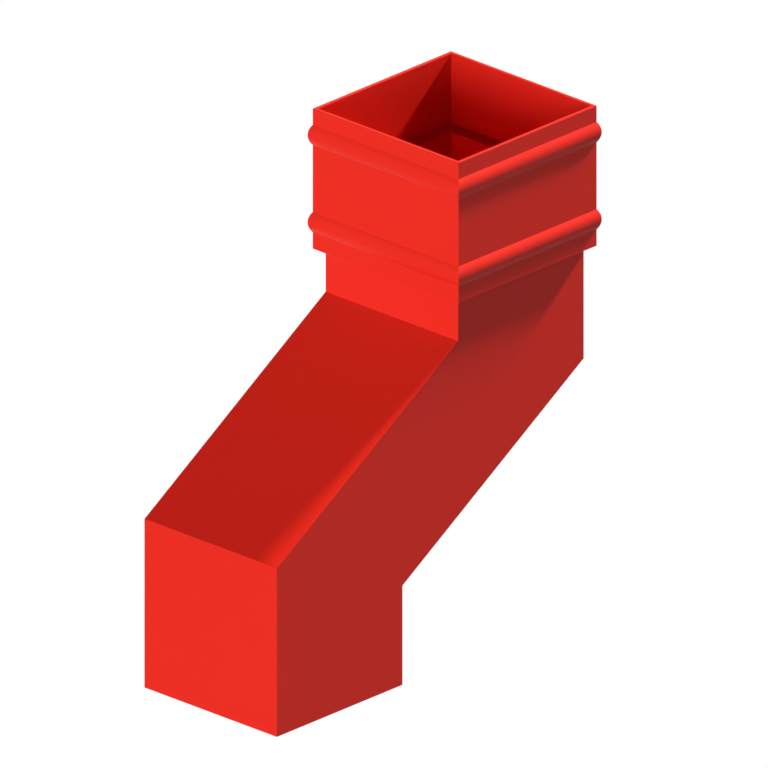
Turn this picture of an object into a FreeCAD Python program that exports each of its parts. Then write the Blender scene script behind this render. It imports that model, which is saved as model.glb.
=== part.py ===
"""Downpipe offset: one casting that carries a square rainwater pipe sideways.

A beaded socket takes the pipe from above, a slanted leg leads the bore towards -Y, and the
plain lower leg ends as a spigot for the socket below.  Millimetres, +Z up, with the origin
at the centre of the spigot's end.
"""
import FreeCAD, Part
import math
import os
import Sketcher

# each driving size in millimetres, with what it measures
SIZES = {
    "pipe_side": (100, "outside of the square pipe"),
    "pipe_wall": (6, "wall of the two legs and of the slope"),
    "lower_leg": (100.5, "front wall of the lower leg, from the spigot's end to the bend"),
    "mitre_rise": (41.4, "how much shorter the lower leg's back wall is than its front wall"),
    "projection": (144, "sideways distance between the two legs"),
    "slope_rise": (90.5, "height that the slope climbs over the projection"),
    "neck": (25.5, "front wall of the upper leg, from the bend to the socket"),
    "joint_clearance": (2.8, "gap between the socket and the pipe that stands in it"),
    "socket_wall": (2.2, "wall round the mouth of the socket"),
    "socket_height": (83.5, "outside height of the socket"),
    "socket_depth": (41.7, "from the rim down to the ledge that the pipe stands on"),
    "bead_inset": (15.8, "from the middle of a bead to the nearer end of the socket"),
    "bead_width": (12, "width of a bead where it leaves the wall"),
    "bead_height": (2, "how far a bead stands out from the wall"),
    "bead_root": (1, "how deep a bead is rooted in the wall"),
    "arris": (0.3, "radius that takes the sharpness off the edges"),
}

# sides and heights that follow from the sizes
BORE_SIDE = "(Sizes.pipe_side - 2 * Sizes.pipe_wall)"
MOUTH_SIDE = "(Sizes.pipe_side + 2 * Sizes.joint_clearance)"
SOCKET_SIDE = f"({MOUTH_SIDE} + 2 * Sizes.socket_wall)"
UPPER_LEG = "(Sizes.neck + Sizes.socket_height - Sizes.socket_depth)"
SPIGOT_END = "0"
SOCKET_BASE = "(Sizes.lower_leg + Sizes.slope_rise + Sizes.neck)"
LOW_BEAD = f"({SOCKET_BASE} + Sizes.bead_inset)"
LEDGE = f"(Sizes.lower_leg + Sizes.slope_rise + {UPPER_LEG})"
RIM = f"({SOCKET_BASE} + Sizes.socket_height)"
# with an even wall, the bore's front bends lie this much lower than the outer ones, and
# its back bends as much higher
BEND_SHIFT = (
    "(Sizes.pipe_wall * (hypot(Sizes.projection; Sizes.slope_rise) - Sizes.slope_rise)"
    " / Sizes.projection)"
)

# how a sketch numbers an edge's ends and centre, its own origin and its upright axis
START, END, CENTRE = 1, 2, 3
SKETCH_ORIGIN = (-1, START)
SKETCH_UPRIGHT = -2
SAME_PLACE = 0.001


def write_sizes():
    """Keep every driving size in one sheet, under its own name."""
    sheet = document.addObject("Spreadsheet::Sheet", "Sizes")
    for row, (name, (value, meaning)) in enumerate(SIZES.items(), start=1):
        sheet.set(f"A{row}", name)
        sheet.set(f"B{row}", str(value))
        sheet.set(f"C{row}", meaning)
        sheet.setAlias(f"B{row}", name)
    document.recompute()
    return sheet


def number(expression):
    """Work out an expression of the sheet's sizes."""
    return float(sizes.evalExpression(expression))


def add_sketch(name, role, height="0"):
    """Lay a sketch on one of the body's own planes, raised by an expression."""
    sketch = body.newObject("Sketcher::SketchObject", name)
    plane = next(item for item in body.Origin.OriginFeatures if item.Role == role)
    sketch.AttachmentSupport = [(plane, "")]
    sketch.MapMode = "FlatFace"
    sketch.setExpression("AttachmentOffset.Base.z", height)
    return sketch


def constrain(sketch, kind, *where):
    """Add a constraint that has no size."""
    sketch.addConstraint(Sketcher.Constraint(kind, *where))


def measure(sketch, kind, first, second, expression):
    """Hold one point at a distance from another, each given as an edge and its end."""
    index = sketch.addConstraint(Sketcher.Constraint(kind, *first, *second, number(expression)))
    sketch.setExpression(f"Constraints[{index}]", expression)


def draw_polygon(sketch, count):
    """Draw a closed run of edges, which the constraints added later pull into shape."""
    half_turn = math.pi / count
    angles = [-math.pi / 2 + half_turn * (2 * corner - 1) for corner in range(count)]
    points = [FreeCAD.Vector(math.cos(angle), math.sin(angle), 0) for angle in angles]
    for point, following in zip(points, points[1:] + points[:1]):
        sketch.addGeometry(Part.LineSegment(point, following))
    for edge in range(count):
        constrain(sketch, "Coincident", edge, END, (edge + 1) % count, START)


def draw_side(sketch, width, front, back, upper_front):
    """Draw the two legs and the slope from the side, with the foot's middle at the origin."""
    foot, lower_back, underside, upper_back, top, neck_front, slope_top, lower_front = range(8)
    draw_polygon(sketch, count=8)
    for edge in (foot, top):
        constrain(sketch, "Horizontal", edge)
    for edge in (lower_back, upper_back, neck_front, lower_front):
        constrain(sketch, "Vertical", edge)
    constrain(sketch, "Symmetric", foot, START, foot, END, *SKETCH_ORIGIN)
    measure(sketch, "DistanceX", (foot, START), (foot, END), width)
    measure(sketch, "DistanceY", (lower_front, END), (lower_front, START), front)
    measure(sketch, "DistanceY", (lower_back, START), (lower_back, END), back)
    measure(sketch, "DistanceY", (neck_front, END), (neck_front, START), upper_front)
    for low, high in (((underside, START), (underside, END)), ((slope_top, END), (slope_top, START))):
        measure(sketch, "DistanceX", low, high, "Sizes.projection")
        measure(sketch, "DistanceY", low, high, "Sizes.slope_rise")


def draw_square(sketch, side):
    """Draw a square round the upper leg's centre line."""
    near, right, far, left = range(4)
    draw_polygon(sketch, count=4)
    constrain(sketch, "Symmetric", near, START, near, END, SKETCH_UPRIGHT)
    constrain(sketch, "Horizontal", far)
    for edge in (right, left):
        constrain(sketch, "Vertical", edge)
    measure(sketch, "DistanceX", (near, START), (near, END), side)
    measure(sketch, "DistanceY", (right, START), (right, END), side)
    measure(sketch, "DistanceY", SKETCH_ORIGIN, (near, START), f"Sizes.projection - {side} / 2")


def draw_bead(sketch):
    """Draw a bead's section on the socket's front wall: a shallow arc on a sunken root."""
    wall = f"Sizes.projection - {SOCKET_SIDE} / 2"
    arc_centre = "(pow(Sizes.bead_width; 2) / 4 - pow(Sizes.bead_height; 2)) / (2 * Sizes.bead_height)"
    middle = FreeCAD.Vector(number(wall), number(LOW_BEAD), 0)
    half_width = FreeCAD.Vector(0, number("Sizes.bead_width / 2"), 0)
    depth = FreeCAD.Vector(number("Sizes.bead_root"), 0, 0)
    crest = middle - FreeCAD.Vector(number("Sizes.bead_height"), 0, 0)
    upper, lower = middle + half_width, middle - half_width
    top, root, base, arc = range(4)
    sketch.addGeometry(Part.LineSegment(upper, upper + depth))
    sketch.addGeometry(Part.LineSegment(upper + depth, lower + depth))
    sketch.addGeometry(Part.LineSegment(lower + depth, lower))
    sketch.addGeometry(Part.Arc(upper, crest, lower))
    constrain(sketch, "Coincident", top, END, root, START)
    constrain(sketch, "Coincident", root, END, base, START)
    constrain(sketch, "Coincident", base, END, arc, END)
    constrain(sketch, "Coincident", arc, START, top, START)
    constrain(sketch, "Horizontal", top)
    constrain(sketch, "Horizontal", base)
    constrain(sketch, "Vertical", root)
    measure(sketch, "DistanceX", (top, START), (top, END), "Sizes.bead_root")
    measure(sketch, "DistanceX", (base, END), (base, START), "Sizes.bead_root")
    measure(sketch, "DistanceY", (root, END), (root, START), "Sizes.bead_width")
    measure(sketch, "DistanceX", (top, START), (arc, CENTRE), arc_centre)
    measure(sketch, "DistanceX", SKETCH_ORIGIN, (top, START), wall)
    measure(sketch, "DistanceY", SKETCH_ORIGIN, (arc, CENTRE), LOW_BEAD)


def reaches(edge, side):
    """Does the edge start and end on the two side faces of this width?"""
    return all(abs(abs(corner.X) - number(side) / 2) < SAME_PLACE for corner in edge.Vertexes)


def lies_at(edge, height):
    """Is the edge level, at this height?"""
    return all(abs(corner.Z - number(height)) < SAME_PLACE for corner in edge.Vertexes)


def is_bead_corner(edge):
    """Does the edge stand out past the socket's side and past its front or back too?"""
    middle = edge.CenterOfMass
    reach = number(SOCKET_SIDE) / 2 + SAME_PLACE
    return abs(middle.x) > reach and abs(middle.y - number("Sizes.projection")) > reach


def round_edges(name, base, wanted):
    """Round those edges of the solid so far that are wanted."""
    document.recompute()
    edges = enumerate(base.Shape.Edges, start=1)
    fillet = body.newObject("PartDesign::Fillet", name)
    fillet.Base = (base, [f"Edge{index}" for index, edge in edges if wanted(edge)])
    fillet.setExpression("Radius", "Sizes.arris")
    return fillet


document = FreeCAD.newDocument("downpipe_offset")
sizes = write_sizes()
body = document.addObject("PartDesign::Body", "Offset")
body.Label = "downpipe_offset"

# the two legs and the slope between them, as one solid bar that ends inside the socket
bar_view = add_sketch("BarSide", "YZ_Plane")
draw_side(
    bar_view,
    width="Sizes.pipe_side",
    front="Sizes.lower_leg",
    back="Sizes.lower_leg - Sizes.mitre_rise",
    upper_front=UPPER_LEG,
)
bar = body.newObject("PartDesign::Pad", "Bar")
bar.Profile = bar_view
bar.SideType = "Symmetric"
bar.setExpression("Length", "Sizes.pipe_side")
round_edges("BarEdges", bar, lambda edge: reaches(edge, "Sizes.pipe_side"))

# the socket's block on top of it
socket_view = add_sketch("SocketPlan", "XY_Plane", SOCKET_BASE)
draw_square(socket_view, SOCKET_SIDE)
socket = body.newObject("PartDesign::Pad", "Socket")
socket.Profile = socket_view
socket.setExpression("Length", "Sizes.socket_height")
round_edges("SocketEdges", socket, lambda edge: reaches(edge, SOCKET_SIDE))

# a bead round each end of the socket, mitred at the corners
bead_view = add_sketch("BeadSection", "YZ_Plane")
draw_bead(bead_view)
bead_path = add_sketch("BeadPath", "XY_Plane", LOW_BEAD)
draw_square(bead_path, SOCKET_SIDE)
bead = body.newObject("PartDesign::AdditivePipe", "Bead")
bead.Profile = bead_view
bead.Spine = (bead_path, [])
bead.Transition = "Right corner"
beads = body.newObject("PartDesign::LinearPattern", "Beads")
beads.Originals = [bead]
beads.Direction = (bead_path, ["N_Axis"])
beads.Occurrences = 2
beads.setExpression("Length", "Sizes.socket_height - 2 * Sizes.bead_inset")
body.Tip = beads
round_edges("BeadCorners", beads, is_bead_corner)

# the socket's mouth, down to the ledge
mouth_view = add_sketch("MouthPlan", "XY_Plane", RIM)
draw_square(mouth_view, MOUTH_SIDE)
mouth = body.newObject("PartDesign::Pocket", "Mouth")
mouth.Profile = mouth_view
mouth.setExpression("Length", "Sizes.socket_depth")

# the bore, from the spigot's end up to the ledge
bore_view = add_sketch("BoreSide", "YZ_Plane")
draw_side(
    bore_view,
    width=BORE_SIDE,
    front=f"Sizes.lower_leg - {BEND_SHIFT}",
    back=f"Sizes.lower_leg - Sizes.mitre_rise + {BEND_SHIFT}",
    upper_front=f"{UPPER_LEG} + {BEND_SHIFT}",
)
bore = body.newObject("PartDesign::Pocket", "Bore")
bore.Profile = bore_view
bore.SideType = "Symmetric"
bore.setExpression("Length", BORE_SIDE)
openings = ((MOUTH_SIDE, RIM), (BORE_SIDE, LEDGE), (BORE_SIDE, SPIGOT_END))
round_edges(
    "OpeningEdges",
    bore,
    lambda edge: any(reaches(edge, side) and lies_at(edge, height) for side, height in openings),
)
document.recompute()

# nothing is written unless every feature is sound and both cuts took something away
for item in document.Objects:
    if "Invalid" in item.State or "Error" in item.State:
        raise RuntimeError(f"{item.Name} failed")
for cut in (mouth, bore):
    if cut.Shape.Volume >= cut.BaseFeature.Shape.Volume:
        raise RuntimeError(f"{cut.Name} cuts nothing")
if body.Shape.isNull() or not body.Shape.isValid() or len(body.Shape.Solids) != 1:
    raise RuntimeError("the offset is not one sound solid")
os.makedirs("parts", exist_ok=True)
body.Shape.exportStep(f"parts/{body.Label}.step")
print(f"{body.Label}: {body.Shape.Volume / 1000:.1f} cubic centimetres, {body.Shape.BoundBox}")
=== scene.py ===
import math

import bpy
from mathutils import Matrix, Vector

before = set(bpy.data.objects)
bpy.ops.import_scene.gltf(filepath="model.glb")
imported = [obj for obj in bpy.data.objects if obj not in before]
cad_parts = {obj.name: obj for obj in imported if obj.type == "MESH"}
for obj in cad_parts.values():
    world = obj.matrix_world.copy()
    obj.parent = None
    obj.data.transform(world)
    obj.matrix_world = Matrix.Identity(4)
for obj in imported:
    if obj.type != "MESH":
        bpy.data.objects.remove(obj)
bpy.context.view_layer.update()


# The casting
# Socket, beads, neck, slope and spigot are one piece of cast aluminium.  It is blasted, then coated
# inside and out with red polyester powder, which is baked to an even satin skin over every face.
RED = (0.55, 0.0155, 0.0084)
DEEPER_RED = (0.525, 0.0144, 0.0078)
# The rim's top is a darker red with more green and blue in it: painted shade with a painted sheen.
RIM_PAINTED_SHADE_AND_SHEEN = (0.4, 0.019, 0.012)
RIM_HEIGHT = 0.2998        # above this the mouth's narrow rim gets painted shade and painted sheen
SATIN = 0.47
DULLER_SATIN = 0.53
SHINE = 0.11               # how much light the film reflects straight on; 0.5 is clear lacquer
FILM_PATCH = 0.07          # across a patch where the film is a little thicker
CAST_WAVE = 0.045          # long waves that the mould leaves in the flat walls, from crest to crest
CAST_WAVE_DEPTH = 0.00002
ORANGE_PEEL = 0.0024       # ripple of the baked powder
ORANGE_PEEL_DEPTH = 0.000004
BLAST_GRAIN = 0.0006       # blasted metal that still shows through the film
BLAST_GRAIN_DEPTH = 0.0000006
UNDER, OVER, MIXED = 6, 7, 2    # sockets of a Mix node that mixes colours


def powder_coat(material):
    """Lay the coat's colour, gloss and ripple on the material."""
    material.use_nodes = True
    tree = material.node_tree
    tree.nodes.clear()

    def node(kind, **settings):
        made = tree.nodes.new("ShaderNode" + kind)
        for name, value in settings.items():
            setattr(made, name, value)
        return made

    place = node("TexCoord").outputs["Object"]

    def ripple(wavelength, detail):
        """Noise of this wavelength in metres, over the part's own surface."""
        noise = node("TexNoise")
        noise.inputs["Scale"].default_value = 1 / wavelength
        noise.inputs["Detail"].default_value = detail
        tree.links.new(place, noise.inputs["Vector"])
        return noise.outputs["Fac"]

    def raised(height, depth, under=None):
        """Height of a ripple in metres, on top of the one under it."""
        scaled = node("Math", operation="MULTIPLY_ADD")
        tree.links.new(height, scaled.inputs[0])
        scaled.inputs[1].default_value = depth
        scaled.inputs[2].default_value = 0
        if under is not None:
            tree.links.new(under, scaled.inputs[2])
        return scaled.outputs[0]

    film = ripple(FILM_PATCH, detail=2)
    peel = ripple(ORANGE_PEEL, detail=1)
    grain = ripple(BLAST_GRAIN, detail=2)

    walls = node("Mix", data_type="RGBA")
    tree.links.new(film, walls.inputs["Factor"])
    walls.inputs[UNDER].default_value = (*DEEPER_RED, 1)
    walls.inputs[OVER].default_value = (*RED, 1)

    split = node("SeparateXYZ")
    tree.links.new(place, split.inputs["Vector"])
    # Above RIM_HEIGHT the coat's colour gives way to the rim's painted shade and sheen.
    on_painted_rim = node("Math", operation="GREATER_THAN")
    tree.links.new(split.outputs["Z"], on_painted_rim.inputs[0])
    on_painted_rim.inputs[1].default_value = RIM_HEIGHT
    colour = node("Mix", data_type="RGBA")
    tree.links.new(on_painted_rim.outputs[0], colour.inputs["Factor"])
    tree.links.new(walls.outputs[MIXED], colour.inputs[UNDER])
    colour.inputs[OVER].default_value = (*RIM_PAINTED_SHADE_AND_SHEEN, 1)

    gloss = node("MapRange")
    tree.links.new(grain, gloss.inputs["Value"])
    gloss.inputs["To Min"].default_value = SATIN
    gloss.inputs["To Max"].default_value = DULLER_SATIN

    relief = raised(ripple(CAST_WAVE, detail=0), CAST_WAVE_DEPTH)
    relief = raised(peel, ORANGE_PEEL_DEPTH, under=relief)
    relief = raised(grain, BLAST_GRAIN_DEPTH, under=relief)
    bump = node("Bump")
    bump.inputs["Distance"].default_value = 1
    tree.links.new(relief, bump.inputs["Height"])

    coat = node("BsdfPrincipled")
    coat.inputs["Specular IOR Level"].default_value = SHINE
    tree.links.new(colour.outputs[MIXED], coat.inputs["Base Color"])
    tree.links.new(gloss.outputs["Result"], coat.inputs["Roughness"])
    tree.links.new(bump.outputs["Normal"], coat.inputs["Normal"])
    output = node("OutputMaterial")
    tree.links.new(coat.outputs["BSDF"], output.inputs["Surface"])


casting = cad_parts["downpipe_offset"]
powder_coat(casting.material_slots[0].material)


# The studio
# The part hangs from its clip, well above a plain pale floor, in a pale room.  The floor is a light
# table: it glows as pale as the room, takes no shadow, and throws no light back up at the part.
FLOOR_SIDE = 16
FLOOR_HEIGHT = -0.6
PALE = (1, 1, 1, 1)
BLACK = (0, 0, 0, 1)

floor_mesh = bpy.data.meshes.new("studio_floor")
half = FLOOR_SIDE / 2
floor_mesh.from_pydata(
    [(-half, -half, 0), (half, -half, 0), (half, half, 0), (-half, half, 0)], [], [(0, 1, 2, 3)]
)
floor = bpy.data.objects.new("studio_floor", floor_mesh)
floor.location.z = FLOOR_HEIGHT
floor.visible_diffuse = False
floor.visible_glossy = False
floor.visible_shadow = False
bpy.context.scene.collection.objects.link(floor)
glow = bpy.data.materials.new("light_table")
glow.use_nodes = True
sheet = glow.node_tree.nodes["Principled BSDF"]
sheet.inputs["Base Color"].default_value = BLACK
sheet.inputs["Specular IOR Level"].default_value = 0
sheet.inputs["Emission Color"].default_value = PALE
sheet.inputs["Emission Strength"].default_value = 1
floor_mesh.materials.append(glow)

ROOM_LIGHT = 0.004         # what the room itself adds to the lamps, of its full white
room = bpy.data.worlds.new("studio_room")
room.use_nodes = True
room_nodes = room.node_tree.nodes
room_links = room.node_tree.links
seen = room_nodes.new("ShaderNodeLightPath").outputs["Is Camera Ray"]
brightness = room_nodes.new("ShaderNodeMapRange")
brightness.inputs["To Min"].default_value = ROOM_LIGHT
brightness.inputs["To Max"].default_value = 1
room_links.new(seen, brightness.inputs["Value"])
background = room_nodes["Background"]
background.inputs["Color"].default_value = PALE
room_links.new(brightness.outputs["Result"], background.inputs["Strength"])
bpy.context.scene.world = room


# The lights
# The key lamp stands high behind the socket and draws the crisp shadows.  Its filter keeps its
# glare off the coat.  Broad soft lamps round the part fill the rest, and three add only a sheen.
def towards(azimuth, elevation):
    """Direction to a light or a camera that stands round the part, from -Y towards +X."""
    turn, rise = math.radians(azimuth), math.radians(elevation)
    return Vector(
        (math.sin(turn) * math.cos(rise), -math.cos(turn) * math.cos(rise), math.sin(rise))
    )


def lamp(name, azimuth, elevation, width, strength):
    """Hang a distant lamp that looks this wide, in degrees, from the part.

    At strength 1 it lights a white card that faces it to full white.
    """
    light = bpy.data.lights.new(name, "SUN")
    light.angle = math.radians(width)
    light.energy = math.pi * strength
    hung = bpy.data.objects.new(name, light)
    hung.rotation_mode = "QUATERNION"
    hung.rotation_quaternion = towards(azimuth, elevation).to_track_quat("Z", "Y")
    bpy.context.scene.collection.objects.link(hung)
    return hung


key = lamp("key_lamp", azimuth=173.4, elevation=40.8, width=4.6, strength=4.14)
key.visible_glossy = False
lamp("front_lamp", azimuth=10, elevation=1, width=30, strength=1.31)
lamp("corner_lamp", azimuth=30, elevation=0, width=30, strength=0.215)
lamp("high_front_lamp", azimuth=10, elevation=22, width=30, strength=0.1)
lamp("left_lamp", azimuth=-112, elevation=-8, width=40, strength=0.6)
lamp("low_left_lamp", azimuth=-90, elevation=-45, width=30, strength=0.155)
lamp("low_back_lamp", azimuth=-130, elevation=-50, width=40, strength=0.22)
lamp("low_right_lamp", azimuth=150, elevation=-30, width=36, strength=0.085)
sheen_lamps = [
    lamp("upper_sheen_lamp", azimuth=142, elevation=28, width=36, strength=0.37),
    lamp("side_sheen_lamp", azimuth=135, elevation=0, width=36, strength=0.16),
    lamp("lower_sheen_lamp", azimuth=178, elevation=-48, width=30, strength=0.1),
]
for sheen in sheen_lamps:
    sheen.visible_diffuse = False
bpy.context.scene.view_settings.view_transform = "Standard"


# The camera
# It sees the part from the front right and above, without perspective, in a square frame.  The
# angles are in degrees, and the frame's side and middle are in metres.
VIEW_AZIMUTH = 43.5
VIEW_ELEVATION = 23.205
VIEW_WIDTH = 0.42009
VIEW_MIDDLE = Vector((-0.00099, 0.08888, 0.15198))
VIEW_DISTANCE = 1.2

camera = bpy.data.objects.new("camera", bpy.data.cameras.new("camera"))
camera.data.type = "ORTHO"
camera.data.ortho_scale = VIEW_WIDTH
back = towards(VIEW_AZIMUTH, VIEW_ELEVATION)
camera.location = VIEW_MIDDLE + back * VIEW_DISTANCE
camera.rotation_mode = "QUATERNION"
camera.rotation_quaternion = (-back).to_track_quat("-Z", "Y")
bpy.context.scene.collection.objects.link(camera)
bpy.context.scene.camera = camera
